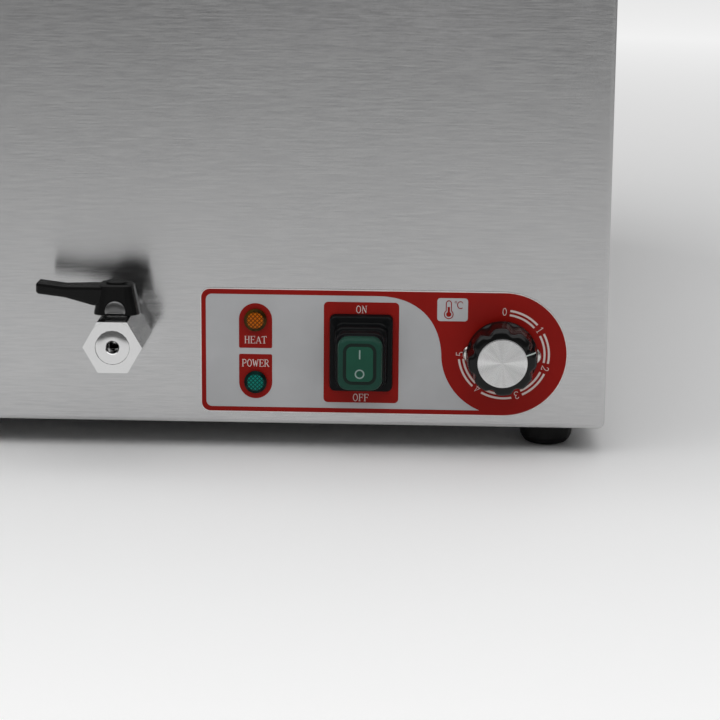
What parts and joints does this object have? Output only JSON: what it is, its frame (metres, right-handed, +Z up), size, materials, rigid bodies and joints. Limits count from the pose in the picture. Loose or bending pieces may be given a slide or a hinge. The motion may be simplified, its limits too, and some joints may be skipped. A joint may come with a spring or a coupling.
{
  "type": "electric bain-marie",
  "caption": "Countertop wet-well bain-marie with lifting pans, hinged lids, drain tap, booted rocker switch, lamps and dial thermostat.",
  "frame": {"origin": "middle of the bounding box's underside, on the surface that the feet stand on", "axes": "+X to the right as seen from the controls, +Y from the front panel to the rear, +Z up"},
  "size_m": [0.3526, 0.666, 0.2923],
  "materials": {
    "casing_steel": "horizontal brushed grain",
    "pan_steel": "fine satin",
    "bright_fittings": "bright",
    "screws": "zinc plated",
    "brass_fittings": "turned",
    "cap_aluminium": "spun",
    "rubber": "matt",
    "black_plastic": "gloss",
    "film": "printed film, red and pale grey",
    "amber": "moulded lens",
    "green": "moulded lens",
    "rocker_green": "satin moulding",
    "boot": "translucent",
    "fibre": "matt",
    "white_plastic": "satin"
  },
  "bodies": {
    "case": {"front_panel": "casing_steel", "rear_panel": "casing_steel", "side_panel_left": "casing_steel", "side_panel_right": "casing_steel", "base_plate": "casing_steel", "top_deck": "casing_steel", "water_tank": "casing_steel", "foot_front_left": "rubber", "foot_front_right": "rubber", "foot_rear_left": "rubber", "foot_rear_right": "rubber", "foot_screw_front_left": "screws", "foot_screw_front_right": "screws", "foot_screw_rear_left": "screws", "foot_screw_rear_right": "screws", "control_overlay": "film", "heat_lamp_body": "white_plastic", "heat_lamp_lens": "amber", "power_lamp_body": "white_plastic", "power_lamp_lens": "green", "thermostat_body": "white_plastic", "thermostat_screw_left": "screws", "thermostat_screw_right": "screws", "thermostat_bulb": "brass_fittings", "bulb_gland": "brass_fittings", "switch_body": "black_plastic", "switch_boot": "boot", "tap_body": "bright_fittings", "tap_backnut": "brass_fittings", "tap_locknut": "brass_fittings", "tap_gasket": "fibre", "heating_element": "bright_fittings", "element_gland_left": "brass_fittings", "element_gland_right": "brass_fittings", "element_clip": "pan_steel", "overheat_cutout": "black_plastic", "terminal_block": "white_plastic", "cable_gland": "black_plastic", "cable_gland_locknut": "black_plastic"},
    "knob": {"control_knob": "black_plastic", "knob_cap": "cap_aluminium", "thermostat_spindle": "screws"},
    "rocker": {"switch_rocker": "rocker_green"},
    "tap_valve": {"tap_ball": "bright_fittings", "tap_stem": "screws", "tap_lever": "black_plastic", "lever_nut": "screws"},
    "front_pan": {"pan_front": "pan_steel"},
    "front_lid": {"lid_front_back_leaf": "pan_steel", "lid_front_hinge_pin": "screws"},
    "front_flap": {"lid_front_flap": "pan_steel", "lid_front_handle": "pan_steel"},
    "rear_pan": {"pan_rear": "pan_steel"},
    "rear_lid": {"lid_rear_back_leaf": "pan_steel", "lid_rear_hinge_pin": "screws"},
    "rear_flap": {"lid_rear_flap": "pan_steel", "lid_rear_handle": "pan_steel"}
  },
  "joints": [
    {"name": "knob_turn", "type": "hinge", "parent": "case", "child": "knob", "pos_m": [0.1266, -0.289, 0.0472], "axis": [0, 1, 0], "range_deg": [-71, 199]},
    {"name": "rocker_tilt", "type": "hinge", "parent": "case", "child": "rocker", "pos_m": [0.0616, -0.287, 0.0475], "axis": [-1, 0, 0], "range_deg": [0, 16]},
    {"name": "tap_turn", "type": "hinge", "parent": "case", "child": "tap_valve", "pos_m": [-0.048, -0.315, 0.05735], "axis": [0, 0, 1], "range_deg": [0, 90]},
    {"name": "front_pan_lift", "type": "slide", "parent": "case", "child": "front_pan", "axis": [0, 0, 1], "range_m": [0, 0.2]},
    {"name": "front_lid_lift", "type": "slide", "parent": "front_pan", "child": "front_lid", "axis": [0, 0, 1], "range_m": [0, 0.1]},
    {"name": "front_flap_hinge", "type": "hinge", "parent": "front_lid", "child": "front_flap", "pos_m": [0, -0.1055, 0.2629], "axis": [-1, 0, 0], "range_deg": [0, 155]},
    {"name": "rear_pan_lift", "type": "slide", "parent": "case", "child": "rear_pan", "axis": [0, 0, 1], "range_m": [0, 0.2]},
    {"name": "rear_lid_lift", "type": "slide", "parent": "rear_pan", "child": "rear_lid", "axis": [0, 0, 1], "range_m": [0, 0.1]},
    {"name": "rear_flap_hinge", "type": "hinge", "parent": "rear_lid", "child": "rear_flap", "pos_m": [0, 0.1595, 0.2629], "axis": [-1, 0, 0], "range_deg": [0, 155]}
  ]
}
